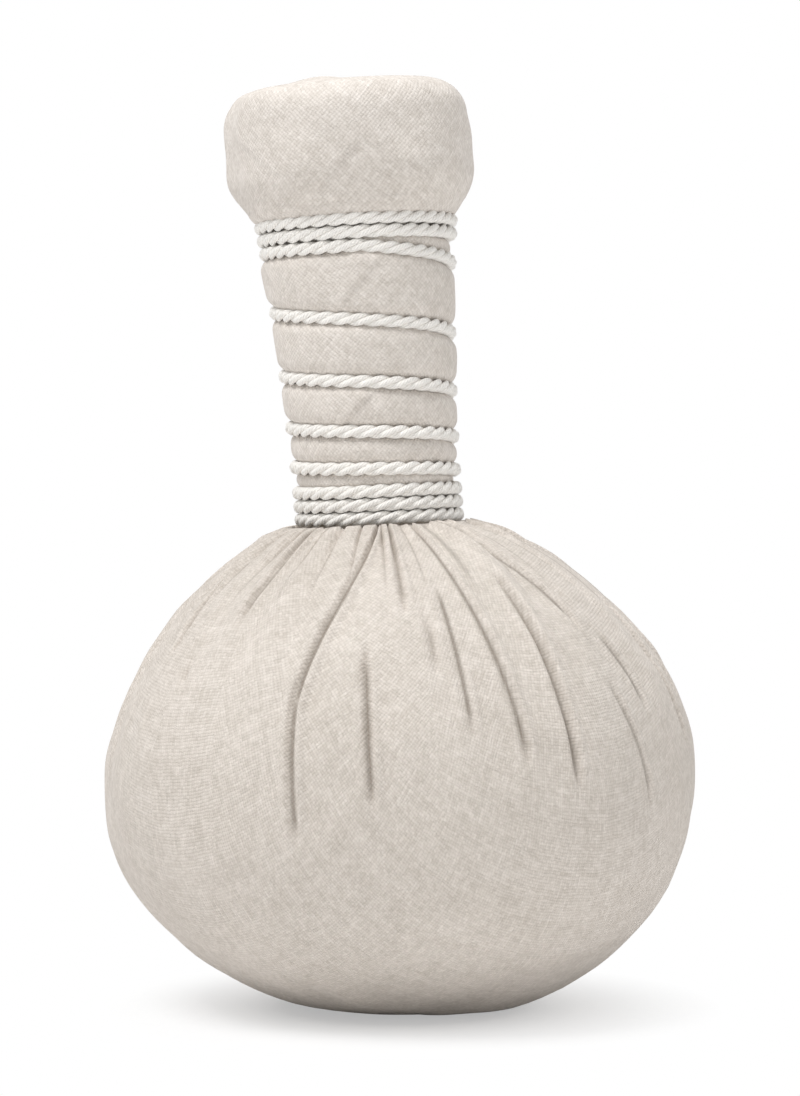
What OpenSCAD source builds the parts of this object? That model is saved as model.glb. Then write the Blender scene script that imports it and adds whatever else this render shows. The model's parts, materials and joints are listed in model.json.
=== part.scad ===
// Herbal compress ball: a ball of dried herbs tied up in a square of cotton cloth.
// The cloth is gathered at the neck, its four corners are folded into a handle,
// and one long cord binds the neck, the handle and the foot of the head.
// Millimetres, +Z up. The origin is the middle of the flat that the ball rests on.

/* [Ball] */
// Width of the ball at its widest level
ball_d = 100; // [80:1:120]
// Height of the crown's tip above the widest level, as if the cloth closed over the neck
crown_h = 46.4; // [38:0.1:60]
// Fullness of the crown: 2 is an ellipse, and less gives a tent's straighter shoulder
crown_power = 1.8; // [1.6:0.01:2.2]
// Depth of the belly below the widest level, before it is pressed flat
belly_h = 41; // [34:0.5:50]
// How much of the belly is pressed flat by the surface that the ball rests on
rest_flat = 2; // [1:0.1:4]
// Thickness of the cloth with its pleats pressed down
cloth_t = 1; // [0.6:0.1:1.6]

/* [Handle] */
// Lean of the whole bundle to one side
lean = 4.5; // [0:0.5:8]
// How far the lowest turn of cord is drawn down into the crown
neck_sink = 1.7; // [0.5:0.1:3]
// Length of the bound stem, from the neck to the underside of the head
stem_h = 54.6; // [45:0.1:80]
// Radius of the cloth under the cord at the neck
neck_r = 12.1; // [10:0.1:15]
// Radius of the cloth under the cord just below the head
stem_top_r = 15.2; // [13:0.1:18]
// Radius of the head
head_r = 20.8; // [17:0.1:26]
// Height of the head
head_h = 21; // [14:0.5:30]

/* [Cord] */
// Diameter of the cotton cord
cord_d = 2.2; // [1.6:0.1:2.8]
// Turns packed together round the neck
neck_turns = 3; // [2:1:4]
// Turns that climb the stem
stem_turns = 5; // [3:1:6]
// Turns packed together below the head
head_turns = 3; // [2:1:4]

/* [Herbs] */
// Diameter of a slice of cassumunar ginger
plai_d = 18; // [12:1:22]
// Diameter of a slice of turmeric
turmeric_d = 11; // [8:1:13]
// Length of a cut of lemongrass
lemongrass_l = 15; // [8:1:18]
// Width of a chip of lime peel
peel_w = 13; // [8:1:16]
// Length of a leaf
leaf_l = 14; // [8:1:18]
// Width of a lump of camphor
camphor_w = 5; // [3:0.5:7]
// Ground herbs left between two cuts that lie side by side
crumb_between = 2; // [1:0.5:4]

/* [Neck] */
// Thickness of the folded corners round the knuckle of gathered cloth
knuckle_wrap = 1.7; // [1:0.1:4]
// Tilt of the handle either way that the neck has room for
tilt = 12; // [5:1:15]

/* [Hidden] */

$fn = 96;
// Gap that keeps two pieces of one body from sharing faces
fit_gap = 0.1;
// Gap between pieces that move on each other
run_gap = 0.3;
// Steps in a curved outline
curve_steps = 24;

ball_r = ball_d / 2;
centre_z = belly_h - rest_flat;
cord_r = cord_d / 2;
// Height gained in each packed turn
cord_pitch = cord_d + 0.05;
// The cord stands this far off the cloth, because its tube is faceted
cord_seat = 0.15;
cord_turns = neck_turns + stem_turns + head_turns - 1;
// The lowest turn lies on the crown where the crown is as wide as the bound neck
bound_r = neck_r + cord_seat + cord_d;
neck_level = crown_h * pow(1 - pow(bound_r / ball_r, 2), 1 / crown_power) - neck_sink;
head_level = neck_level + stem_h;
tip_level = head_level + head_h;
// What is left of the stem's length once every turn has its own pitch
spiral_spread = stem_h - cord_turns * cord_pitch - cord_d - 2 * fit_gap;
// How quickly the spiral opens out as it climbs
spiral_power = 1.85;
// The turns that can dip into the crown swing inside this radius of the neck's centre
swing_r = norm([bound_r - cord_r, 2.5 * cord_pitch]) + cord_r;
dish_r = swing_r + run_gap;
socket_r = neck_r - cloth_t - fit_gap - knuckle_wrap;
knuckle_r = socket_r - run_gap;
twist_r = 4;
far = 4 * ball_d;

// ---- Placing ----

// From the bundle's own axis, with the ball's centre at 0, to where it stands
module leaning() {
    translate([0, 0, centre_z]) rotate([0, -lean, 0]) children();
}

module at_neck() {
    translate([0, 0, neck_level]) children();
}

module above(level) {
    translate([-far / 2, -far / 2, level]) cube(far);
}

// As many copies round the bundle's axis as go side by side. Each is so wide across, and so
// deep from its middle towards the axis.
module ring(radius, level, across, deep) {
    count = floor(180 / atan((across / 2 + crumb_between) / (radius - deep)));
    for (i = [0:count - 1])
        rotate([0, 0, 360 * i / count]) translate([radius, 0, level]) children();
}

// ---- Outlines ----

// The ball's outline, drawn in by inset all round
function ball_outline(inset) = let (r = ball_r - inset, up = crown_h - inset, down = belly_h - inset)
    concat(
        [[0, -down]],
        [for (i = [1:curve_steps]) let (a = 90 * i / curve_steps) [r * sin(a), -down * cos(a)]],
        [for (i = [1:curve_steps - 1]) let (h = sin(90 * i / curve_steps))
            [r * sqrt(1 - pow(h, crown_power)), up * h]],
        [[0, up]]);

// Radius of the cloth under the cord, at a level on the stem
function stem_r(level) = let (share = (level - neck_level) / stem_h)
    neck_r + (stem_top_r - neck_r) * share * share;

function arc(x, y, r, from, to, steps = 8) =
    [for (i = [0:steps]) let (a = from + (to - from) * i / steps) [x + r * cos(a), y + r * sin(a)]];

// The handle's outline, from the neck to the top of the head, drawn in by inset
function handle_outline(inset) = let (under_r = min(5.4, head_r - stem_top_r), rim_r = 5.5)
    concat(
        [[0, neck_level]],
        [for (i = [0:curve_steps]) let (level = neck_level + stem_h * i / curve_steps)
            [stem_r(level) - inset, level]],
        arc(head_r - under_r, head_level + under_r, under_r - inset, -90, 0),
        arc(head_r - rim_r, tip_level - rim_r, rim_r - inset, 0, 90),
        [[0, tip_level - inset]]);

// ---- The cord's route ----

// Turns are counted from the front of the lowest one, and the cord starts half a turn earlier
function cord_level(turn) = let (
        share = min(1, max(0, (turn - neck_turns + 1) / stem_turns)))
    neck_level + fit_gap + cord_r + cord_pitch * (turn + 0.5)
    + spiral_spread * pow(share, spiral_power);

function cord_angle(turn) = -90 - 360 * turn;

function cord_ring(turn, sides) = let (
        level = cord_level(turn),
        a = cord_angle(turn),
        r = stem_r(level) + cord_seat + cord_r)
    [for (k = [0:sides - 1]) let (b = 360 * (k + 0.5) / sides, out = r + cord_r * cos(b))
        [out * cos(a), out * sin(a), level + cord_r * sin(b)]];

module swept_cord(sides = 8, steps_per_turn = 24) {
    steps = round(cord_turns * steps_per_turn);
    points = [for (i = [0:steps]) each cord_ring(i / steps_per_turn - 0.5, sides)];
    walls = [for (i = [0:steps - 1], k = [0:sides - 1]) let (
            a = i * sides + k, b = i * sides + (k + 1) % sides, c = a + sides, d = b + sides)
        each [[a, d, c], [a, b, d]]];
    start = [for (k = [0:sides - 1]) sides - 1 - k];
    end = [for (k = [0:sides - 1]) steps * sides + k];
    polyhedron(points, concat([start], walls, [end]));
}

// ---- The ball ----

module ball_solid(inset, floor_level) {
    intersection() {
        leaning() rotate_extrude() polygon(ball_outline(inset));
        above(floor_level);
    }
}

// Room in the ball's crown for the neck to swing
module neck_dish() {
    leaning() at_neck() sphere(dish_r);
}

// The cloth round the herbs, from the flat that it rests on up to the neck
module ball_cover() {
    color("antiquewhite") difference() {
        ball_solid(0, 0);
        ball_solid(cloth_t, cloth_t);
        neck_dish();
    }
}

// The ground herbs and salt that fill the ball, packed round the larger cuts
module herb_crumb() {
    color("olive") difference() {
        ball_solid(cloth_t + fit_gap, cloth_t + fit_gap);
        neck_dish();
        plai_slices();
        turmeric_slices();
        lemongrass_cuts();
        lime_peel();
        leaf_flakes();
        camphor_lumps();
    }
}

module plai_slices(thickness = 4) {
    color("gold") leaning() ring(0.58 * ball_r, -0.12 * belly_h, plai_d, 0.3 * plai_d + thickness / 2)
        rotate([25, 70, 0]) cylinder(d = plai_d, h = thickness, center = true);
}

module turmeric_slices(thickness = 3) {
    color("darkorange") leaning() ring(0.5 * ball_r, 0.32 * crown_h, turmeric_d, turmeric_d / 2)
        rotate([0, 35, 0]) cylinder(d = turmeric_d, h = thickness, center = true);
}

module lemongrass_cuts(stalk_d = 7) {
    color("darkkhaki") leaning() ring(0.26 * ball_r, -0.58 * belly_h, lemongrass_l, stalk_d / 2)
        rotate([90, 0, 0]) cylinder(d = stalk_d, h = lemongrass_l, center = true);
}

// Chips of a peel with the fruit's own curve
module lime_peel(fruit_r = 22, thickness = 2) {
    inner_r = fruit_r - thickness;
    reach = asin(peel_w / 2 / fruit_r);
    color("forestgreen") leaning() ring(0.5 * ball_r, -0.58 * belly_h, peel_w, peel_w / 2)
        rotate([0, 50, 0]) translate([0, 0, -fruit_r]) rotate_extrude() polygon(concat(
            [[0, inner_r]],
            arc(0, 0, inner_r, 90 - reach / 4, 90 - reach, 3),
            arc(0, 0, fruit_r, 90 - reach, 90 - reach / 4, 3),
            [[0, fruit_r]]));
}

// Dried leaves, each the lens where two circles cross
module leaf_flakes(leaf_w = 5, thickness = 0.8) {
    edge_r = (leaf_l * leaf_l + leaf_w * leaf_w) / (4 * leaf_w);
    side = edge_r - leaf_w / 2;
    color("darkolivegreen") leaning() ring(0.8 * ball_r, 0.24 * crown_h, leaf_l, thickness)
        rotate([90, 0, 90]) linear_extrude(thickness, center = true) intersection() {
            translate([0, side]) circle(edge_r);
            translate([0, -side]) circle(edge_r);
        }
}

module camphor_lumps() {
    color("whitesmoke") leaning() ring(0.16 * ball_r, 0, camphor_w, camphor_w / 2)
        rotate([30, 20, 0]) cylinder(d = camphor_w, h = camphor_w, center = true, $fn = 6);
}

// ---- The neck ----

// The gathered throat of the cloth: a knuckle in the handle, spreading into the ball's crown
module neck_gather() {
    slope = tilt + 1;
    depth = ball_r;
    color("linen") leaning() at_neck() union() {
        sphere(knuckle_r);
        intersection() {
            sphere(dish_r - run_gap);
            translate([0, 0, -depth]) cylinder(r1 = depth / tan(slope), r2 = 0, h = depth);
        }
    }
}

// ---- The handle ----

// The short tails from the middles of the cloth's sides, twisted together
module tail_twist() {
    color("linen") leaning() difference() {
        translate([0, 0, neck_level]) cylinder(r = twist_r, h = stem_h + head_h / 2);
        at_neck() sphere(socket_r);
    }
}

// One corner of the cloth, folded up and over to fill a quarter of the handle
module cloth_corner(turn) {
    color("linen") leaning() intersection() {
        difference() {
            rotate_extrude() polygon(handle_outline(cloth_t + fit_gap));
            cylinder(r = twist_r + fit_gap, h = head_level + head_h / 2 + fit_gap);
            at_neck() sphere(socket_r);
        }
        rotate([0, 0, turn - 45]) translate([fit_gap / 2, fit_gap / 2, 0]) cube(far);
    }
}

module cloth_corner_front() cloth_corner(-90);
module cloth_corner_right() cloth_corner(0);
module cloth_corner_back() cloth_corner(90);
module cloth_corner_left() cloth_corner(180);

// The outer wrap of the handle, which closes over the head and is bound by the cord
module handle_cover() {
    color("antiquewhite") leaning() difference() {
        rotate_extrude() polygon(handle_outline(0));
        rotate_extrude() polygon(handle_outline(cloth_t));
    }
}

module binding_cord() {
    color("ivory") leaning() swept_cord();
}

ball_cover();
herb_crumb();
plai_slices();
turmeric_slices();
lemongrass_cuts();
lime_peel();
leaf_flakes();
camphor_lumps();
neck_gather();
tail_twist();
cloth_corner_front();
cloth_corner_right();
cloth_corner_back();
cloth_corner_left();
handle_cover();
binding_cord();
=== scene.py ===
import json
import math
import random

import bmesh
import bpy
import numpy as np
from mathutils import Matrix, Vector


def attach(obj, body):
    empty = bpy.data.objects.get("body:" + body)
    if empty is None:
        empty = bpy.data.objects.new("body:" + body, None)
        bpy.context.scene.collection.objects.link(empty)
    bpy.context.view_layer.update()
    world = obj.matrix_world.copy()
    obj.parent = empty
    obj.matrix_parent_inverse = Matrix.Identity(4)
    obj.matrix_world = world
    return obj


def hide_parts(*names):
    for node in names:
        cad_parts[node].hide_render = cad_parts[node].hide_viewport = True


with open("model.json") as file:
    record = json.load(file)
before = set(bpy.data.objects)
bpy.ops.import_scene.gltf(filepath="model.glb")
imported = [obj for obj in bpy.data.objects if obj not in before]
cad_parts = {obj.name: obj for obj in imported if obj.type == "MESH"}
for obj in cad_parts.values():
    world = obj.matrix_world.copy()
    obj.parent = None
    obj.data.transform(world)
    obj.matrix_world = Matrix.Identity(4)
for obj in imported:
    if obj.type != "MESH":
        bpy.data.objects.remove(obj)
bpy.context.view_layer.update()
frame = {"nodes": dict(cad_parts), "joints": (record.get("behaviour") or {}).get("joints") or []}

# Lengths are millimetres in the bundle's own frame: its axis is Z, the ball's centre is 0, and
# the front is -Y. BUNDLE stands it in the row's frame, in metres, with its lean.
MM = 0.001

# ---- The ball ----
BALL_R = 50.0
BELLY_H = 41.0
CROWN_H = 46.4
CROWN_POWER = 1.8
CENTRE_Z = 39.0
LEAN = math.radians(4.5)
CLOTH_T = 1.05

# ---- The handle ----
NECK_R = 12.1
STEM_TOP_R = 15.2
STEM_H = 54.6
HEAD_R = 20.8
HEAD_H = 21.0
RIM_R = 5.5

# ---- The cord ----
CORD_D = 2.2
CORD_R = CORD_D / 2
CORD_PITCH = CORD_D + 0.05
CORD_SEAT = 0.15
FIT_GAP = 0.1
NECK_TURNS = 3
STEM_TURNS = 5
HEAD_TURNS = 3
CORD_TURNS = NECK_TURNS + STEM_TURNS + HEAD_TURNS - 1
SPIRAL_SPREAD = STEM_H - CORD_TURNS * CORD_PITCH - CORD_D - 2 * FIT_GAP
SPIRAL_POWER = 1.85
LAY = 8.7
STRANDS = 3
STRAND_SQUEEZE = 1.14

BUNDLE = (Matrix.Translation((0, 0, CENTRE_Z * MM)) @ Matrix.Rotation(-LEAN, 4, "Y")
          @ Matrix.Scale(MM, 4))
PIVOT = Vector(frame["joints"][0]["pos_m"])
NECK = (BUNDLE.inverted() @ PIVOT).z
HEAD = NECK + STEM_H
TIP = HEAD + HEAD_H

random.seed(7)
SWELLS = 14


# ---------------------------------------------------------------- camera, light and stage

def make_camera():
    data = bpy.data.cameras.new("camera")
    data.lens = 115.5
    data.sensor_width = 36
    data.clip_end = 20
    camera = bpy.data.objects.new("camera", data)
    camera.location = (0, -0.6, 0.092)
    camera.rotation_euler = (math.radians(90 - 1.3), 0, 0)
    bpy.context.scene.collection.objects.link(camera)
    bpy.context.scene.camera = camera


def soft_lamp(name, size, power, place, target=(0, 0, 0.07)):
    data = bpy.data.lights.new(name, "AREA")
    data.shape = "DISK"
    data.size = size
    data.energy = power
    lamp = bpy.data.objects.new(name, data)
    lamp.location = place
    lamp.rotation_euler = (Vector(target) - Vector(place)).to_track_quat("-Z", "Y").to_euler()
    bpy.context.scene.collection.objects.link(lamp)


# ---------------------------------------------------------------- materials

def srgb(red, green, blue):
    """A colour picked on a 0 to 255 chart, as the linear colour that a shader takes."""
    def linear(c):
        c /= 255
        return c / 12.92 if c <= 0.04045 else ((c + 0.055) / 1.055) ** 2.4
    return (linear(red), linear(green), linear(blue), 1)


class Tap:
    """A value in a finish. Arithmetic on it adds Math nodes."""

    def __init__(self, finish, socket):
        self.finish = finish
        self.socket = socket

    def calc(self, operation, *others):
        return self.finish.add("Math", {"operation": operation}, self, *others)

    def __add__(self, other):
        return self.calc("ADD", other)

    __radd__ = __add__

    def __sub__(self, other):
        return self.calc("SUBTRACT", other)

    def __rsub__(self, other):
        return self.finish.add("Math", {"operation": "SUBTRACT"}, other, self)

    def __mul__(self, other):
        return self.calc("MULTIPLY", other)

    __rmul__ = __mul__

    def __truediv__(self, other):
        return self.calc("DIVIDE", other)

    def floor(self):
        return self.calc("FLOOR")

    def sine(self):
        return self.calc("SINE")

    def size(self):
        return self.calc("ABSOLUTE")

    def over(self, other):
        return self.calc("MAXIMUM", other)

    def clipped(self):
        return self.calc("MAXIMUM", 0).calc("MINIMUM", 1)

    def ramp(self, low, high):
        """0 below low, 1 above high, and smooth between."""
        return self.finish.add("MapRange", {"interpolation_type": "SMOOTHSTEP"}, self, low, high, 0, 1)


class Finish:
    """A material under construction, ending in one Principled shader."""

    def __init__(self, name, roughness, sheen=0.0, coat=0.0):
        self.material = bpy.data.materials.new(name)
        self.material.use_nodes = True
        self.tree = self.material.node_tree
        self.shader = self.tree.nodes["Principled BSDF"]
        self.shader.inputs["Roughness"].default_value = roughness
        self.shader.inputs["Sheen Weight"].default_value = sheen
        self.shader.inputs["Sheen Roughness"].default_value = 0.5
        self.shader.inputs["Coat Weight"].default_value = coat
        self.shader.inputs["Specular IOR Level"].default_value = 0.2

    def feed(self, socket, value):
        if isinstance(value, Tap):
            self.tree.links.new(value.socket, socket)
        else:
            socket.default_value = value

    def add(self, kind, settings, *values, out=0, **named):
        """A node of any kind. Its settings come first, then the values or taps of its sockets."""
        node = self.tree.nodes.new("ShaderNode" + kind)
        for name, value in settings.items():
            setattr(node, name, value)
        for socket, value in zip(node.inputs, values):
            self.feed(socket, value)
        for name, value in named.items():
            self.feed(node.inputs[name.replace("_", " ")], value)
        return Tap(self, node.outputs[out])

    def mix(self, factor, first, second):
        node = self.tree.nodes.new("ShaderNodeMix")
        node.data_type = "RGBA"
        self.feed(node.inputs[0], factor)
        self.feed(node.inputs[6], first)
        self.feed(node.inputs[7], second)
        return Tap(self, node.outputs[2])

    def place(self):
        """Object coordinates, in metres in the row's frame."""
        return self.add("TexCoord", {}, out=3)

    def chart(self):
        """The piece's own UV map, in metres along its cloth or cord."""
        return self.add("UVMap", {"uv_map": "weave"})

    def parts(self, vector):
        node = self.tree.nodes.new("ShaderNodeSeparateXYZ")
        self.feed(node.inputs[0], vector)
        return [Tap(self, s) for s in node.outputs]

    def cloud(self, vector, scale, detail=3, **named):
        return self.add("TexNoise", {}, Vector=vector, Scale=scale, Detail=detail, **named)

    def tint(self, colour):
        self.feed(self.shader.inputs["Base Color"], colour)

    def relief(self, height, depth, strength=1.0):
        bump = self.add("Bump", {}, Strength=strength, Distance=depth, Height=height)
        self.feed(self.shader.inputs["Normal"], bump)


THREAD = 0.00054


def calico(name, light, dark, chart=True):
    """Unbleached plain-weave cotton: threads over and under, uneven yarn, specks of seed coat."""
    f = Finish(name, roughness=0.95, sheen=0.12)
    place = f.place()
    cloth = f.chart() if chart else place
    wobble = f.cloud(cloth, 260, 2) - 0.5
    across, along, up = f.parts(cloth)
    warp = (across if chart else across + along) / THREAD + wobble * 1.1
    weft = (along if chart else up) / THREAD + wobble * 1.1
    end = warp.floor()
    pick = weft.floor()
    rise = ((weft + end - 0.5) * math.pi).calc("COSINE")
    fall = ((warp + pick + 0.5) * math.pi).calc("COSINE")
    warp_top = (warp * math.pi).sine().size() * (rise * 0.4 + 0.6)
    weft_top = (weft * math.pi).sine().size() * (fall * 0.4 + 0.6)
    thread = warp_top.over(weft_top)
    crossing = f.add("CombineXYZ", {}, end, pick, 0.0)
    float_shade = f.add("TexWhiteNoise", {"noise_dimensions": "2D"}, Vector=crossing)
    end_shade = f.add("TexWhiteNoise", {"noise_dimensions": "1D"}, W=end)
    pick_shade = f.add("TexWhiteNoise", {"noise_dimensions": "1D"}, W=pick + 500)
    yarn = end_shade + pick_shade - 1
    slub = f.cloud(f.add("Mapping", {}, Vector=cloth, Scale=(1, 6, 1)), 170, 2).ramp(0.56, 0.7)
    cross_slub = f.cloud(f.add("Mapping", {}, Vector=cloth, Scale=(6, 1, 1)), 170, 2).ramp(0.57, 0.7)
    blotch = f.cloud(place, 420, 4, Roughness=0.6)
    broad = f.cloud(place, 60, 3)
    grain = f.cloud(cloth, 2200, 2)
    shade = (thread * 0.32 + yarn * 0.10 + (float_shade - 0.5) * 0.28 + (blotch - 0.5) * 0.55
             + (broad - 0.5) * 0.30 + (grain - 0.5) * 0.45 + 0.42 + slub * 0.10 + cross_slub * 0.10)
    colour = f.mix(shade.clipped(), dark, light)
    speck = f.add("TexVoronoi", {}, Vector=place, Scale=68, Randomness=1)
    chosen = f.add("TexVoronoi", {}, Vector=place, Scale=68, Randomness=1, out=1)
    rare = f.parts(chosen)[0].ramp(0.86, 0.88)
    spot = (1 - speck.ramp(0.010, 0.024)) * rare
    colour = f.mix(spot * 0.6, colour, srgb(122, 104, 80))
    # Painted shade: the colour darkens towards a deep brown along the bottom of each crease, standing in
    # for the shadow there
    painted_shade = f.add("Attribute", {"attribute_name": "painted_shade"}, out=2)
    f.tint(f.mix(painted_shade * 0.7, colour, srgb(104, 93, 80)))
    height = (thread * 0.7 + yarn * 0.10 + float_shade * 0.18 + grain * 0.35 + slub * 0.25
              + cross_slub * 0.25)
    f.relief(height, 0.00018, 0.8)
    return f.material


def cotton_cord():
    """Twisted cotton: each strand's yarns wind against the lay, with a nap of loose fibre."""
    f = Finish("cotton_cord", roughness=0.85, sheen=0.35)
    along, across = f.parts(f.chart())[:2]
    place = f.place()
    yarn = ((along * 1150 + across * 5 + (f.cloud(place, 900, 2) - 0.5) * 0.8) * math.pi).sine().size()
    nap = f.cloud(place, 3800, 3)
    age = f.cloud(place, 70, 3)
    shade = yarn * 0.35 + (nap - 0.5) * 0.5 + (age - 0.5) * 0.5 + 0.55
    f.tint(f.mix(shade.clipped(), srgb(228, 224, 217), srgb(254, 251, 246)))
    f.relief(yarn * 0.8 + nap * 0.45, 0.00016, 0.8)
    return f.material


def herb_mix():
    f = Finish("ground_herbs", roughness=0.95)
    place = f.place()
    crumb = f.add("TexVoronoi", {}, Vector=place, Scale=700, out=1)
    pick = f.parts(crumb)[0]
    dust = f.cloud(place, 1500, 4)
    colour = f.mix(pick.ramp(0.3, 0.7), srgb(120, 96, 48), srgb(176, 146, 84))
    colour = f.mix(f.parts(crumb)[1].ramp(0.7, 0.75), colour, srgb(92, 98, 50))
    colour = f.mix(f.parts(crumb)[2].ramp(0.92, 0.94), colour, srgb(226, 220, 204))
    f.tint(f.mix(dust * 0.5, colour, srgb(104, 82, 44)))
    f.relief(dust + pick * 0.6, 0.0006)
    return f.material


def dried_cut(name, rind, flesh, ring_scale, ridge):
    """A slice or cut of a dried root, stalk or peel, with its rings or fibres."""
    f = Finish(name, roughness=0.8)
    place = f.place()
    bands = f.add("TexWave", {"wave_type": "RINGS" if ridge else "BANDS", "rings_direction": "SPHERICAL"},
                  Vector=place, Scale=ring_scale, Distortion=6, Detail=3)
    fibre = f.cloud(place, 900, 4)
    pits = f.cloud(place, 260, 3)
    colour = f.mix((bands * 0.5 + fibre * 0.5).ramp(0.25, 0.75), rind, flesh)
    f.tint(f.mix(pits.ramp(0.55, 0.7) * 0.5, colour, rind))
    f.relief(bands * 0.4 + fibre * 0.6, 0.0004)
    return f.material


def camphor_wax():
    f = Finish("camphor", roughness=0.35, coat=0.2)
    place = f.place()
    frost = f.cloud(place, 600, 5)
    f.tint(f.mix(frost.ramp(0.3, 0.7), srgb(226, 230, 228), srgb(246, 247, 245)))
    f.relief(frost, 0.0003, 0.6)
    return f.material


# ---------------------------------------------------------------- shapes turned about the axis

def evenly(points, step):
    """The same line through the profile with its points about one step apart."""
    line = [Vector(p) for p in points]
    spans = [(b - a).length for a, b in zip(line, line[1:])]
    total = sum(spans)
    count = max(1, round(total / step))
    result, reach, i, passed = [], 0.0, 0, 0.0
    for k in range(count + 1):
        reach = total * k / count
        while i < len(spans) - 1 and passed + spans[i] < reach:
            passed += spans[i]
            i += 1
        share = min(1.0, (reach - passed) / spans[i]) if spans[i] else 0
        result.append(line[i].lerp(line[i + 1], share))
    return result


def arc(x, y, radius, start, stop, steps=10):
    turns = [math.radians(start + (stop - start) * i / steps) for i in range(steps + 1)]
    return [(x + radius * math.cos(a), y + radius * math.sin(a)) for a in turns]


class Turning:
    """Rings of points about the axis, one ring for each row of a line, and a single point where
    the line meets the axis. Each point has its row and its bearing."""

    def __init__(self, radii, columns, closed):
        rings, row, turn = [], [], []
        for i, radius in enumerate(radii):
            count = 1 if radius < 0.001 else columns
            rings.append((len(row), count))
            row += [i] * count
            turn += [360 * c / columns - 180 for c in range(count)]
        self.row = np.array(row)
        self.turn = np.array(turn)
        self.faces = []
        pairs = list(zip(rings, rings[1:]))
        if closed:
            pairs.append((rings[-1], rings[0]))
        for (a, n), (b, m) in pairs:
            for c in range(columns):
                d = (c + 1) % columns
                if n > 1 and m > 1:
                    self.faces.append((a + c, a + d, b + d, b + c))
                elif n > 1:
                    self.faces.append((a + c, a + d, b))
                elif m > 1:
                    self.faces.append((a, b + d, b + c))

    def place(self, radius, level):
        turn = np.radians(self.turn)
        return np.stack([np.sin(turn) * radius, -np.cos(turn) * radius, level], 1)

    def mesh(self, name, points):
        mesh = bpy.data.meshes.new(name)
        mesh.from_pydata(points.tolist(), [], self.faces)
        return mesh


def corners(mesh):
    co = np.zeros(len(mesh.vertices) * 3, np.float32)
    mesh.vertices.foreach_get("co", co)
    return co.reshape(-1, 3).astype(float)


def finish_piece(mesh, material):
    """Stands the mesh in the row's frame, smooth, with its material."""
    mesh.transform(BUNDLE)
    mesh.shade_smooth()
    mesh.materials.append(material)
    piece = bpy.data.objects.new(mesh.name, mesh)
    bpy.context.scene.collection.objects.link(piece)
    return piece


def smooth(x):
    x = np.clip(x, 0, 1)
    return x * x * (3 - 2 * x)


def apart(a, b):
    return (a - b + 180) % 360 - 180


# ---------------------------------------------------------------- pleats

class Crease:
    """One crease line of the gathered cloth, through points of (level, degrees from the front)."""

    def __init__(self, depth, *points):
        levels = [p[0] for p in points]
        self.path = np.polynomial.Polynomial.fit(levels, [p[1] for p in points],
                                                 min(3, len(points) - 1))
        # A line that reaches the neck runs on in under the cord
        self.top = max(levels) + (6 if max(levels) > 38 else 0)
        self.bottom = min(levels)
        self.depth = depth

    def aside(self, turn, level, radius):
        """How far each point of the cloth lies to the right of the line."""
        line = self.path(np.clip(level, self.bottom, self.top))
        return np.radians(apart(turn, line)) * radius

    def strength(self, level):
        return smooth((level - self.bottom + 1.5) / 6) * smooth((self.top + 1.5 - level) / 6)

    def relief(self, turn, level, radius):
        d = self.aside(turn, level, radius) / np.clip(radius / 36, 0.4, 1)
        groove = np.exp(-(d / 0.4) ** 2)
        ridge = np.exp(-((np.abs(d) - 1.3) / 0.8) ** 2) * np.where(d > 0, 1, 0.65)
        bowl = np.exp(-np.abs(d) / 3.5)
        return self.depth * self.strength(level) * (0.75 * ridge - 1.7 * groove - 0.35 * bowl)


def hanging_fold(depth, bearing, swing, top, length):
    """A crease that starts at a bearing from the front and swings aside as it runs down."""
    return Crease(depth, (top, bearing), (top - length / 2, bearing + 0.7 * swing),
                  (top - length, bearing + swing))


# The main folds of the front: depth, bearing from the front, swing, the level
# where each starts and its length
FRONT_CREASES = [
    hanging_fold(0.7, -65, 5, 40, 15),
    hanging_fold(0.5, -50, 0, 25, 5),
    hanging_fold(0.7, -40, 0, 40, 10),
    hanging_fold(1.0, -5, -15, 40, 25),
    hanging_fold(1.2, -20, 0, 20, 25),
    hanging_fold(0.9, -5, 0, 25, 25),
    hanging_fold(0.8, 5, 0, 40, 10),
    hanging_fold(0.6, 10, 0, 30, 10),
    hanging_fold(1.0, 15, 0, 35, 25),
    hanging_fold(1.0, 20, 5, 40, 35),
    hanging_fold(0.8, 35, 0, 35, 35),
    hanging_fold(1.0, 40, 10, 40, 15),
    hanging_fold(1.2, 55, 5, 25, 15),
    hanging_fold(0.8, 50, 5, 15, 20),
]


def other_creases():
    """Folds round the sides and the back, much as at the front."""
    folds = []
    turn = 74.0
    while turn < 288:
        top = random.choice([42, 41, 40, 29, 20])
        length = random.uniform(12, 38) if top > 30 else random.uniform(9, 24)
        sway = random.uniform(-6, 6)
        depth = random.uniform(0.5, 1.1)
        folds.append(Crease(depth, (top, turn - sway), (top - length / 2, turn + sway / 4),
                            (top - length, turn + random.uniform(-2, 2))))
        turn += random.uniform(5, 12)
    return folds


def waves(turn, level, counts, drift, seed):
    """Irregular folds round the neck: waves of several counts that wander with the level."""
    pick = np.random.default_rng(seed)
    total = np.zeros_like(turn)
    for count in counts:
        total += np.sin(np.radians(turn) * count + pick.uniform(0, 2 * math.pi)
                        + pick.uniform(-drift, drift) * level)
    return total / math.sqrt(len(counts))


def pinched(wave, edge):
    """Rounded folds with narrow creases between, from a plain wave."""
    return 1 - np.exp(-np.abs(wave) / edge)


# The least and most that the cloth stands off the plain shape, and the most beside the neck
DEEPEST = -0.75
HIGHEST = 3
HIGHEST_AT_NECK = 0.3
PLEAT_COUNTS = (13, 16, 19)


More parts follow.
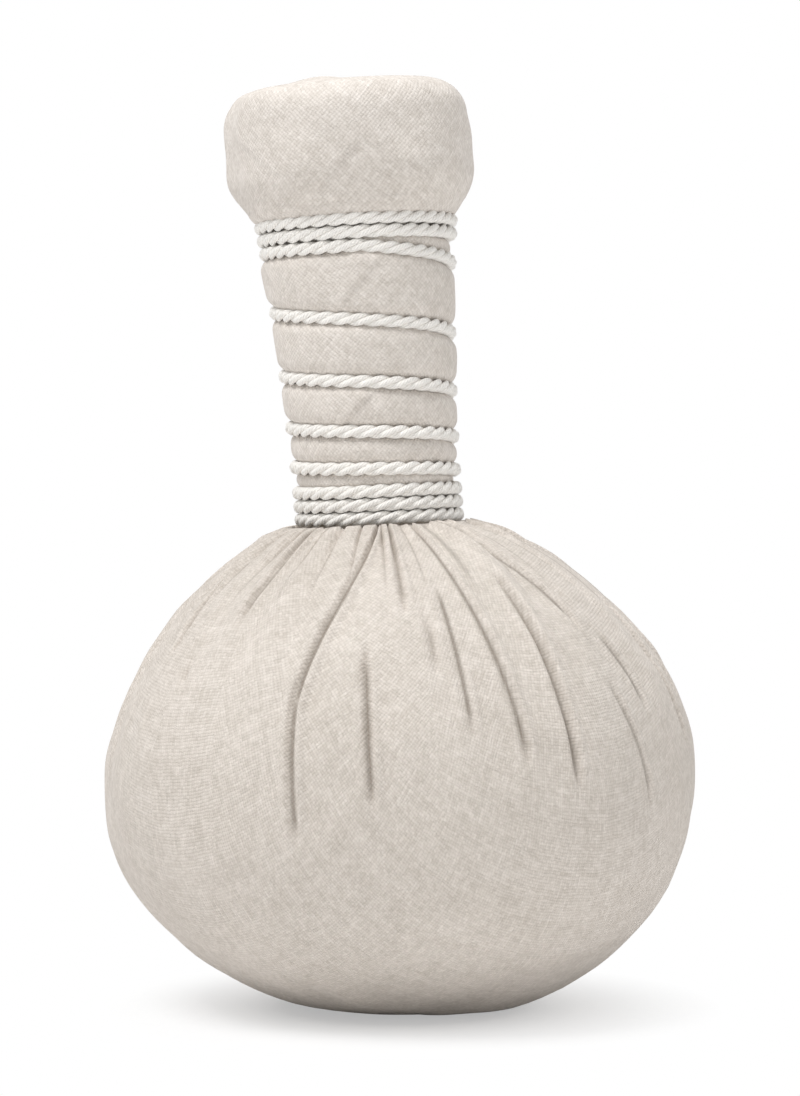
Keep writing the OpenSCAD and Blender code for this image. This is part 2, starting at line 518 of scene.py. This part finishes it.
def painted_crease_shade(turn, level, radius, folds):
    """Painted shade for the bottom of each crease, where no light falls: 1 along it and 0 off it, and up
    to 0.6 in the narrow pleats by the neck.
    """
    dark = np.zeros_like(turn)
    for crease in folds:
        d = crease.aside(turn, level, radius) / np.clip(radius / 36, 0.4, 1)
        line = np.exp(-(d / 0.42) ** 2) * crease.strength(level) ** 2
        dark = np.maximum(dark, line * np.clip(crease.depth, 0, 1))
    wave = waves(turn, level, PLEAT_COUNTS, 0.03, 3)
    pleats = np.exp(-(wave / 0.11) ** 2) * smooth((37 - radius) / 12) * smooth(level / 10)
    return np.maximum(dark, 0.6 * pleats)


def ball_relief(turn, level, radius, folds):
    """How far the cloth stands off the ball's plain shape."""
    shoulder = smooth((level - 10) / 20)
    height = 0.5 * smooth((level + 35) / 30) * (1 - 0.8 * shoulder)
    radius = np.where(level > 0, radius, BALL_R)
    # The herbs have settled a little to the right
    side = np.sin(np.radians(turn))
    height += smooth((-level - 9) / 22) * np.where(side > 0, 1.9, 0.6) * side
    height -= 0.5 * side * shoulder
    for crease in folds:
        height += crease.relief(turn, level, radius)
    gather = smooth((47 - radius) / 25)
    tight = smooth((31 - radius) / 13)
    pleat = pinched(waves(turn, level, PLEAT_COUNTS, 0.03, 3), 0.35)
    height += (0.5 * gather + 0.85 * tight) * (pleat - 0.65)
    fine = pinched(waves(turn, level, (31, 37, 43), 0.06, 4), 0.35)
    height += 0.4 * tight * (fine - 0.65)
    height += 0.22 * waves(turn, level, (22, 27, 33), 0.05, 5) * smooth((level - 4) / 25)
    height += 0.3 * waves(turn, level, (7, 9, 11), 0.04, 6) * smooth((level + 22) / 40)
    return np.maximum(height, DEEPEST)


def lumps(co, spread, seed):
    """Smooth unevenness, about 1 high, with lumps about that far apart."""
    pick = np.random.default_rng(seed)
    total = np.zeros(len(co))
    for _ in range(SWELLS):
        way = pick.normal(size=3)
        way *= 2 * math.pi * pick.uniform(0.5, 1.3) / spread / np.linalg.norm(way)
        total += np.sin(co @ way + pick.uniform(0, 2 * math.pi))
    return total / math.sqrt(SWELLS)


# ---------------------------------------------------------------- the cloth of the ball

class Outline:
    """A profile of (radius, level) points, followed by the distance along it."""

    def __init__(self, points):
        line = np.array([tuple(p) for p in evenly(points, 0.2)])
        steps = np.hypot(*np.diff(line, axis=0).T)
        self.reach = np.concatenate([[0], steps.cumsum()])
        self.end = self.reach[-1]
        self.radius, self.level = line.T
        ahead = np.gradient(line, self.reach, axis=0)
        ahead /= np.hypot(*ahead.T)[:, None]
        self.out = ahead[:, 1]
        self.up = -ahead[:, 0]

    def at(self, reach):
        return np.interp(reach, self.reach, self.radius), np.interp(reach, self.reach, self.level)

    def facing(self, reach):
        return np.interp(reach, self.reach, self.out), np.interp(reach, self.reach, self.up)


# The ball of space round the neck's pivot that the tied neck turns in
DISH_R = 15.75
DISH_DEPTH = 5


def ball_outline():
    """From under the ball over its crown to the rim beside the lowest turn of cord, then down
    inside as a collar that the neck turns in. Gives the line and its reach at the rim."""
    belly = [(BALL_R * math.sin(math.radians(a / 2)), -BELLY_H * math.cos(math.radians(a / 2)))
             for a in range(0, 180)]
    crown = []
    for i in range(900):
        h = math.sin(math.radians(90 * i / 900))
        point = (BALL_R * math.sqrt(1 - h ** CROWN_POWER), CROWN_H * h)
        if math.hypot(point[0], point[1] - NECK) < DISH_R:
            break
        crown.append(point)
    rim = Outline(belly + crown).end
    drop = [(math.sqrt(DISH_R ** 2 - (0.8 - i / 4) ** 2), NECK + 0.8 - i / 4)
            for i in range(int(4 * (DISH_DEPTH + 0.8)))]
    return Outline(belly + crown + drop), rim


class Swell:
    """Heights on a grid of bearing by reach, read smoothly between its points."""

    def __init__(self, reaches, heights):
        finer = []
        fine = np.linspace(0, len(reaches) - 1, 4 * len(reaches))
        for line in heights.T:
            finer.append(np.interp(fine, np.arange(len(reaches)), line))
        heights = np.array(finer).T
        count = heights.shape[1]
        around = np.arange(4 * count) / 4
        heights = np.array([np.interp(around, np.arange(count + 1), np.append(line, line[0]))
                            for line in heights])
        for _ in range(6):
            heights = (heights + (np.roll(heights, 1, 1) + np.roll(heights, -1, 1)) / 2) / 2
            held = np.pad(heights, ((1, 1), (0, 0)), "edge")
            heights = (heights + (held[2:] + held[:-2]) / 2) / 2
        self.heights = heights
        self.first = reaches[0]
        self.last = reaches[-1]

    def at(self, turn, reach):
        rows, count = self.heights.shape
        x = (turn + 180) / 360 * count
        y = np.clip((reach - self.first) / (self.last - self.first), 0, 1) * (rows - 1)
        left = np.floor(x).astype(int)
        low = np.minimum(y.astype(int), rows - 2)
        a = x - left
        b = y - low
        left %= count
        right = (left + 1) % count
        h = self.heights
        return ((h[low, left] * (1 - a) + h[low, right] * a) * (1 - b)
                + (h[low + 1, left] * (1 - a) + h[low + 1, right] * a) * b)


SIM_SCALE = 0.05
SIM_FRAMES = 20
MOST_SWELL = 2.0
PLAIN_SWELL = 0.7


def settled(outline, rim, folds):
    """Settles the cloth by simulation: held along its creases, under the ball and at the neck, and
    pressed out by the herbs, it swells between them. The heights are from the ball's plain shape,
    less the swell that the plain shape already has."""
    columns, rows = 216, 60
    reaches = np.linspace(16, rim, rows)
    turn, reach = np.meshgrid(np.arange(columns) * 360 / columns - 180, reaches)
    radius, level = outline.at(reach)
    out, up = outline.facing(reach)
    x, y = np.sin(np.radians(turn)), -np.cos(np.radians(turn))
    normal = np.stack([x * out, y * out, up], 2).reshape(-1, 3)
    start = np.stack([x * radius, y * radius, level], 2).reshape(-1, 3)
    faces = [(r * columns + c, r * columns + (c + 1) % columns,
              (r + 1) * columns + (c + 1) % columns, (r + 1) * columns + c)
             for r in range(rows - 1) for c in range(columns)]
    mesh = bpy.data.meshes.new("settling_cloth")
    mesh.from_pydata((start * SIM_SCALE).tolist(), [], faces)
    piece = bpy.data.objects.new("settling_cloth", mesh)
    scene = bpy.context.scene
    scene.collection.objects.link(piece)
    hold = np.zeros_like(turn)
    for crease in folds:
        d = crease.aside(turn, level, radius)
        hold = np.maximum(hold, crease.strength(level) * np.exp(-(d / 1.4) ** 2))
    hold[0] = hold[-1] = 1
    held = piece.vertex_groups.new(name="held")
    for i, weight in enumerate(hold.ravel()):
        held.add([i], float(max(0.02, weight)), "REPLACE")
    cloth = piece.modifiers.new("settle", "CLOTH")
    settings = cloth.settings
    settings.quality = 5
    settings.mass = 0.05
    settings.tension_stiffness = 15
    settings.compression_stiffness = 15
    settings.shear_stiffness = 5
    settings.bending_stiffness = 0.05
    settings.use_pressure = True
    settings.uniform_pressure_force = 4
    settings.vertex_group_mass = "held"
    settings.pin_stiffness = 1
    settings.effector_weights.gravity = 0
    cloth.point_cache.frame_start = 1
    cloth.point_cache.frame_end = SIM_FRAMES
    for frame_number in range(1, SIM_FRAMES + 1):
        scene.frame_set(frame_number)
    view = bpy.context.evaluated_depsgraph_get()
    end = corners(piece.evaluated_get(view).data) / SIM_SCALE
    heights = np.clip(((end - start) * normal).sum(1), DEEPEST, MOST_SWELL)
    bpy.data.objects.remove(piece)
    bpy.data.meshes.remove(mesh)
    scene.frame_set(1)
    return Swell(reaches, heights.reshape(rows, columns) - PLAIN_SWELL)


def draped(turning, outline, rim, reach, outer, folds, swell):
    """The points of the outer wall laid on the settled and pleated cloth, those of the inner wall
    one cloth's thickness inside the plain shape, and how much painted shade each point's crease gets."""
    turn = turning.turn
    radius, level = outline.at(reach)
    out, up = outline.facing(reach)
    plain = turning.place(radius, level)
    dark = painted_crease_shade(turn, level, radius, folds)
    height = ball_relief(turn, level, radius, folds)
    height += 0.3 * lumps(plain, 34, 3) + 0.14 * lumps(plain, 9, 5)
    if swell:
        ease = smooth((43 - level) / 6)
        height += swell.at(turn, reach) * ease - 0.35 * (1 - ease)
    over_rim = smooth((rim + 0.8 - reach) / 1.2)
    # The lowest turn of cord climbs as it goes round, and the cloth beside it climbs with it
    tied = smooth((24 - radius) / 8) * smooth((180 - np.abs(turn)) / 36) * over_rim
    climb = np.where(outer, CORD_PITCH * turn / 360 * tied, 0)
    # It never sinks to the herbs, and beside the neck it stays low enough for the cord to tip
    lowest = DEEPEST + np.maximum(climb, 0) * up
    highest = np.where(level > 0, HIGHEST_AT_NECK + HIGHEST * smooth((radius - 16) / 14), HIGHEST)
    height = np.clip(height, lowest, highest) * over_rim
    height = np.where(outer, height, -CLOTH_T)
    radius, level = np.maximum(radius + out * height, 0), level + up * height - climb
    clear = np.maximum(DISH_R / np.maximum(np.hypot(radius, level - NECK), 1), 1)
    points = turning.place(radius * clear, NECK + (level - NECK) * clear)
    return points, dark * over_rim


def rest_on_floor(mesh):
    """Presses the belly flat, in the row's frame, with a soft edge round the flat."""
    soft = 0.0008
    co = corners(mesh)
    pressed = (co[:, 2] + np.sqrt(co[:, 2] ** 2 + soft ** 2)) / 2
    co[:, 2] = np.maximum(pressed - 0.00006, 0)
    mesh.vertices.foreach_set("co", co.astype(np.float32).ravel())
    mesh.update()


def loops_of(mesh):
    vertex = np.zeros(len(mesh.loops), np.int32)
    mesh.loops.foreach_get("vertex_index", vertex)
    sizes = np.zeros(len(mesh.polygons), np.int32)
    mesh.polygons.foreach_get("loop_total", sizes)
    face = np.repeat(np.arange(len(sizes)), sizes)
    return vertex, face, sizes


def write_chart(mesh, u, v):
    layer = mesh.uv_layers.new(name="weave")
    layer.data.foreach_set("uv", np.stack([u, v], 1).astype(np.float32).ravel())


def unrolled(turn, vertex, face, sizes):
    """The bearing at each corner of each face, without a jump across the back."""
    at = turn[vertex]
    first = at[np.concatenate([[0], np.cumsum(sizes)[:-1]])][face]
    return first + apart(at, first)


GRAIN = math.radians(-48)
PANEL = 15


def chart_ball(mesh, turn, reach):
    """The cloth's own threads: a flat square wrapped up from the bottom, which runs true over the
    belly and folds its spare width away in panels above."""
    co = corners(mesh)
    radius = np.hypot(co[:, 0], co[:, 1])
    vertex, face, sizes = loops_of(mesh)
    at = unrolled(turn, vertex, face, sizes)
    middle = np.bincount(face, at) / sizes
    panel = (np.round(middle / PANEL) * PANEL)[face]
    s = reach[vertex]
    r = radius[vertex]
    folded = smooth((s - 55) / 40)
    width = 1 + folded * (r / np.maximum(s, 1) - 1)
    a = np.radians(panel + (at - panel) * width) - GRAIN
    write_chart(mesh, s * np.cos(a) * MM, s * np.sin(a) * MM)


BALL_COLUMNS = 800


def cloth_of_ball(material):
    folds = FRONT_CREASES + other_creases()
    outline, rim = ball_outline()
    swell = settled(outline, rim, folds)
    low = outline.reach[np.argmax(outline.level > -15)]
    outer = np.concatenate([np.linspace(0, low, 26, endpoint=False),
                            np.linspace(low, rim, 84, endpoint=False),
                            np.linspace(rim, rim + 1.5, 5, endpoint=False),
                            np.linspace(rim + 1.5, outline.end, 4)])
    inner = np.concatenate([[outline.end, rim + 2], np.arange(rim - 1.5, 3, -6), [0]])
    rows = np.concatenate([outer, inner])
    radii = outline.at(rows)[0]
    turning = Turning(radii, BALL_COLUMNS, closed=False)
    reach = rows[turning.row]
    points, dark = draped(turning, outline, rim, reach, turning.row < len(outer), folds, swell)
    mesh = turning.mesh("ball_cloth", points)
    # The painted shade of the creases, kept on each point so that the cloth's colour darkens by it
    mesh.attributes.new("painted_shade", "FLOAT", "POINT").data.foreach_set("value", dark.astype(np.float32))
    chart_ball(mesh, turning.turn, reach)
    ball = finish_piece(mesh, material)
    rest_on_floor(mesh)
    return ball


# ---------------------------------------------------------------- the cord

def stem_radius(level):
    share = (level - NECK) / STEM_H
    return NECK_R + (STEM_TOP_R - NECK_R) * share * np.abs(share)


def cord_level(turn):
    share = np.clip((turn - NECK_TURNS + 1) / STEM_TURNS, 0, 1)
    return NECK + FIT_GAP + CORD_R + CORD_PITCH * (turn + 0.5) + SPIRAL_SPREAD * share ** SPIRAL_POWER


def cord_points(steps_per_turn):
    """The cord's middle line, with the way out from the handle at each point. Its ends dive in
    under the cloth."""
    points = []
    steps = CORD_TURNS * steps_per_turn
    for i in range(steps + 1):
        turn = -0.5 + CORD_TURNS * i / steps
        level = float(cord_level(turn))
        angle = math.radians(-90 - 360 * turn)
        near_end = min(i, steps - i) / steps_per_turn * 360
        dive = 2.6 * (1 - min(1, near_end / 30)) ** 2
        radius = float(stem_radius(level)) + CORD_SEAT + CORD_R - dive
        out = Vector((math.cos(angle), math.sin(angle), 0))
        points.append((out * radius + Vector((0, 0, level)), out))
    return points


def tube(bm, uv, rings, sides, start_u):
    """A closed tube through rings of (middle, out, across, radius, distance)."""
    loops = []
    for middle, out, across, radius, reach in rings:
        loops.append([bm.verts.new(middle + (out * math.cos(2 * math.pi * k / sides)
                                             + across * math.sin(2 * math.pi * k / sides)) * radius)
                      for k in range(sides)])
    for i in range(len(loops) - 1):
        for k in range(sides):
            n = (k + 1) % sides
            face = bm.faces.new((loops[i][k], loops[i][n], loops[i + 1][n], loops[i + 1][k]))
            places = ((i, k), (i, k + 1), (i + 1, k + 1), (i + 1, k))
            for corner, (j, side) in zip(face.loops, places):
                corner[uv].uv = (rings[j][4] * MM, side / sides + start_u)
    bm.faces.new(list(reversed(loops[0])))
    bm.faces.new(loops[-1])


def laid_cord(material):
    """Three strands laid up to the left along the cord's route."""
    route = cord_points(150)
    strand_r = CORD_R / (1 + 2 / math.sqrt(3))
    offset = CORD_R - strand_r
    bm = bmesh.new()
    uv = bm.loops.layers.uv.new("weave")
    reach = [0.0]
    for (a, _), (b, _) in zip(route, route[1:]):
        reach.append(reach[-1] + (b - a).length)
    for strand in range(STRANDS):
        rings = []
        for i, (middle, out) in enumerate(route):
            a, b = route[max(0, i - 1)][0], route[min(len(route) - 1, i + 1)][0]
            ahead = (b - a).normalized()
            across = ahead.cross(out).normalized()
            angle = 2 * math.pi * (strand / STRANDS - reach[i] / LAY)
            side = out * math.cos(angle) + across * math.sin(angle)
            lean = ahead.cross(side)
            rings.append((middle + side * offset, side, lean, strand_r * STRAND_SQUEEZE, reach[i]))
        tube(bm, uv, rings, 8, strand * 0.37)
    bmesh.ops.recalc_face_normals(bm, faces=bm.faces)
    mesh = bpy.data.meshes.new("laid_cord")
    bm.to_mesh(mesh)
    bm.free()
    return finish_piece(mesh, material), reach[-1]


# ---------------------------------------------------------------- the cloth of the handle

class FoldEdge:
    """Where one layer of the wrap ends over the next: a low step along a slanting line."""

    def __init__(self, turn, level, slope, reach, height):
        self.turn = turn
        self.level = level
        self.slope = math.radians(slope)
        self.reach = reach
        self.height = height

    def relief(self, turn, level, radius):
        x = np.radians(apart(turn, self.turn)) * radius
        y = level - self.level
        t = x * math.cos(self.slope) + y * math.sin(self.slope)
        d = -x * math.sin(self.slope) + y * math.cos(self.slope)
        span = smooth((t + self.reach) / 3) * smooth((self.reach - t) / 3)
        step = 1 / (1 + np.exp(-d / 0.18))
        notch = np.exp(-(d / 0.3) ** 2)
        return self.height * span * (step * np.exp(-np.maximum(d, 0) / 4) - 0.5 * notch)


WRAP_EDGES = [
    FoldEdge(-10, HEAD + 5, 42, 9, 0.45),
    FoldEdge(30, HEAD - 1, 50, 12, 0.3),
    FoldEdge(-50, HEAD + 9, -35, 8, 0.3),
    FoldEdge(2, NECK + 42, 44, 7, 0.35),
    FoldEdge(-42, NECK + 41, -40, 6, 0.25),
    FoldEdge(-6, NECK + 21, 40, 6, 0.5),
    FoldEdge(38, NECK + 30, 46, 5, 0.3),
    FoldEdge(48, NECK + 12, -38, 4, 0.5),
    FoldEdge(160, NECK + 42, 40, 10, 0.4),
    FoldEdge(120, NECK + 30, 42, 8, 0.4),
    FoldEdge(-120, NECK + 20, 44, 8, 0.4),
    FoldEdge(150, HEAD + 8, 45, 16, 0.45),
]


def wrap_radius(turn, level):
    """The wrap's radius: drawn in under each turn of cord, puffed between turns, and swelling out
    over the top turn into the head."""
    part = apart(0, turn) / 360
    levels = np.stack([cord_level(k + part) for k in range(CORD_TURNS)], 1)
    under = np.where(levels <= level[:, None], levels, -1e3).max(1)
    over = np.where(levels > level[:, None], levels, 1e3).min(1)
    bound = stem_radius(np.minimum(level, HEAD))
    gap = np.clip(over - under, CORD_PITCH, 13)
    near = np.minimum(level - under, over - level)
    full = (CORD_D - 0.2) * (1 - np.exp(-(gap - 2.0) / 2.0))
    edge = np.minimum(gap / 2 - 0.45, 2.6)
    rise = np.clip((near - 0.45) / edge, 0, 1)
    puff = full * (1 - (1 - rise) ** 2.4)
    crown = 0.35 * np.sin(math.pi * np.clip((level - under) / gap, 0, 1)) * smooth((gap - 5) / 5)
    radius = bound + np.where(under < -100, 0, puff + crown)
    top = levels[:, -1]
    swell = level - top - 0.75
    flare = HEAD_R - 4 * np.clip(1 - swell / 9, 0, 1) ** 2
    climb = smooth((level - top - 0.1) / 0.9)
    head = bound * (1 - climb) + flare * climb
    return np.where(level > top, head, radius)


def cloth_of_handle(material):
    bottom = NECK + 0.6
    side = [(stem_radius(bottom) - 0.35, bottom), (NECK_R, bottom + 0.5)]
    side += [(float(stem_radius(NECK + STEM_H * i / 60)), NECK + STEM_H * i / 60) for i in range(2, 61)]
    side += [(HEAD_R, HEAD + 1), (HEAD_R, TIP - RIM_R)]
    rim = arc(HEAD_R - RIM_R, TIP - RIM_R, RIM_R, 0, 90, 14)
    top = [(HEAD_R - RIM_R - 5, TIP + 0.5), (5, TIP + 0.9), (0, TIP + 0.95)]
    line = evenly(side, 0.5) + [Vector(p) for p in evenly(rim, 0.7)[1:]] + evenly([rim[-1]] + top, 0.8)[1:]
    inner_side = [(NECK_R - CLOTH_T - 0.2, bottom)]
    inner_side += [(float(stem_radius(NECK + STEM_H * i / 12)) - CLOTH_T, NECK + STEM_H * i / 12)
                   for i in range(1, 13)]
    inner_side += [(HEAD_R - CLOTH_T, HEAD + 5), (HEAD_R - CLOTH_T, TIP - RIM_R),
                   (HEAD_R - RIM_R, TIP - CLOTH_T), (0, TIP - CLOTH_T)]
    rows = np.array([tuple(p) for p in line + [Vector(p) for p in reversed(inner_side)]])
    turning = Turning(rows[:, 0], 360, closed=True)
    radius, level = rows[turning.row].T
    turn = turning.turn
    outer = turning.row < len(line)
    on_side = outer & (level > bottom + 0.4) & (level <= TIP - RIM_R + 0.01) & (radius > NECK_R - 0.5)
    wide = np.where(on_side, wrap_radius(turn, level), radius)
    for edge in WRAP_EDGES:
        wide += np.where(on_side, edge.relief(turn, level, wide), 0)
    swelling = smooth((level - HEAD) / 6)
    over_top = smooth((radius - 6) / 9)
    loose = np.where(outer, 0.25 + 0.35 * swelling, 0)
    flat = turning.place(radius, level)
    uneven = loose * lumps(flat, 26, 11) + 0.5 * loose * lumps(flat, 9, 13)
    wide += (uneven + np.where(outer, 0.45 * swelling, 0)) * over_top
    height = level + uneven * (1 - over_top) * smooth((level - TIP + 2) / 2)
    mesh = turning.mesh("handle_wrap", turning.place(wide, height))
    chart_handle(mesh, turn, level)
    return finish_piece(mesh, material)


def chart_handle(mesh, turn, level):
    """The wrap's threads lie on the bias, at 45 degrees to the handle. Its top is one flat patch."""
    co = corners(mesh)
    vertex, face, sizes = loops_of(mesh)
    at = unrolled(turn, vertex, face, sizes)
    around = np.interp(level, [NECK, HEAD, HEAD + 5, TIP], [14, 15.5, 20.8, 20.8])[vertex]
    x = np.radians(at) * around
    y = level[vertex]
    capped = (np.bincount(face, level[vertex]) / sizes > TIP - 1.2)[face]
    x = np.where(capped, co[vertex, 0], x)
    y = np.where(capped, co[vertex, 1], y)
    write_chart(mesh, (x + y) * math.sqrt(0.5) * MM, (y - x) * math.sqrt(0.5) * MM)


# ---------------------------------------------------------------- the stage

def make_stage():
    mesh = bpy.data.meshes.new("floor")
    bm = bmesh.new()
    bmesh.ops.create_circle(bm, cap_ends=True, segments=64, radius=3)
    bm.to_mesh(mesh)
    bm.free()
    floor = bpy.data.objects.new("floor", mesh)
    bpy.context.scene.collection.objects.link(floor)
    material = bpy.data.materials.new("white_floor")
    material.use_nodes = True
    tree = material.node_tree
    tree.nodes.clear()
    out = tree.nodes.new("ShaderNodeOutputMaterial")
    mix = tree.nodes.new("ShaderNodeMixShader")
    paper = tree.nodes.new("ShaderNodeBsdfDiffuse")
    paper.inputs[0].default_value = (0.93, 0.93, 0.93, 1)
    glow = tree.nodes.new("ShaderNodeEmission")
    path = tree.nodes.new("ShaderNodeLightPath")
    place = tree.nodes.new("ShaderNodeTexCoord")
    far = tree.nodes.new("ShaderNodeVectorMath")
    far.operation = "LENGTH"
    fade = tree.nodes.new("ShaderNodeMapRange")
    fade.inputs[1].default_value = 0.02
    fade.inputs[2].default_value = 0.055
    fade.inputs[3].default_value = 0.42
    fade.inputs[4].default_value = 1.0
    seen = tree.nodes.new("ShaderNodeMath")
    seen.operation = "MULTIPLY"
    tree.links.new(place.outputs["Object"], far.inputs[0])
    tree.links.new(far.outputs["Value"], fade.inputs[0])
    tree.links.new(fade.outputs[0], seen.inputs[0])
    tree.links.new(path.outputs["Is Camera Ray"], seen.inputs[1])
    tree.links.new(seen.outputs[0], mix.inputs[0])
    tree.links.new(paper.outputs[0], mix.inputs[1])
    tree.links.new(glow.outputs[0], mix.inputs[2])
    tree.links.new(mix.outputs[0], out.inputs[0])
    mesh.materials.append(material)

    world = bpy.data.worlds.new("studio")
    bpy.context.scene.world = world
    world.use_nodes = True
    tree = world.node_tree
    tree.nodes.clear()
    out = tree.nodes.new("ShaderNodeOutputWorld")
    mix = tree.nodes.new("ShaderNodeMixShader")
    room = tree.nodes.new("ShaderNodeBackground")
    room.inputs[0].default_value = (1, 1, 1, 1)
    room.inputs[1].default_value = 0.5
    backdrop = tree.nodes.new("ShaderNodeBackground")
    backdrop.inputs[0].default_value = (1, 1, 1, 1)
    backdrop.inputs[1].default_value = 1.0
    path = tree.nodes.new("ShaderNodeLightPath")
    tree.links.new(path.outputs["Is Camera Ray"], mix.inputs[0])
    tree.links.new(room.outputs[0], mix.inputs[1])
    tree.links.new(backdrop.outputs[0], mix.inputs[2])
    tree.links.new(mix.outputs[0], out.inputs[0])


def light_it():
    soft_lamp("key", 0.6, 9.8, (-0.42, -0.42, 1.12))
    soft_lamp("fill", 0.9, 1.6, (1.0, -0.4, 0.3))
    soft_lamp("top", 0.6, 2.6, (0.1, 0.1, 1.1))


# ---------------------------------------------------------------- put together

make_camera()
light_it()
make_stage()
bpy.context.scene.view_settings.view_transform = "Standard"

ball_calico = calico("calico_of_ball", srgb(226, 218, 210), srgb(178, 169, 158))
handle_calico = calico("calico_of_handle", srgb(234, 227, 220), srgb(186, 177, 167))
inner_calico = calico("calico_inside", srgb(222, 214, 204), srgb(176, 166, 154), chart=False)

ball_cloth = cloth_of_ball(ball_calico)
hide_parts("ball_cover")
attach(ball_cloth, "ball")

handle_wrap = cloth_of_handle(handle_calico)
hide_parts("handle_cover")
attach(handle_wrap, "handle")

cord, cord_length = laid_cord(cotton_cord())
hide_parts("binding_cord")
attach(cord, "handle")

CUT_FINISHES = {
    "herb_crumb": herb_mix(),
    "plai_slices": dried_cut("dried_plai", srgb(150, 112, 48), srgb(214, 176, 92), 60, True),
    "turmeric_slices": dried_cut("dried_turmeric", srgb(150, 84, 20), srgb(222, 138, 36), 80, True),
    "lemongrass_cuts": dried_cut("dried_lemongrass", srgb(150, 140, 84), srgb(206, 198, 150), 120, False),
    "lime_peel": dried_cut("dried_peel", srgb(70, 80, 34), srgb(120, 128, 62), 90, True),
    "leaf_flakes": dried_cut("dried_leaf", srgb(74, 78, 42), srgb(118, 120, 70), 160, False),
    "camphor_lumps": camphor_wax(),
    "neck_gather": inner_calico,
    "tail_twist": inner_calico,
    "cloth_corner_front": inner_calico,
    "cloth_corner_right": inner_calico,
    "cloth_corner_back": inner_calico,
    "cloth_corner_left": inner_calico,
}
for node, material in CUT_FINISHES.items():
    piece = frame["nodes"][node]
    piece.data.materials.clear()
    piece.data.materials.append(material)
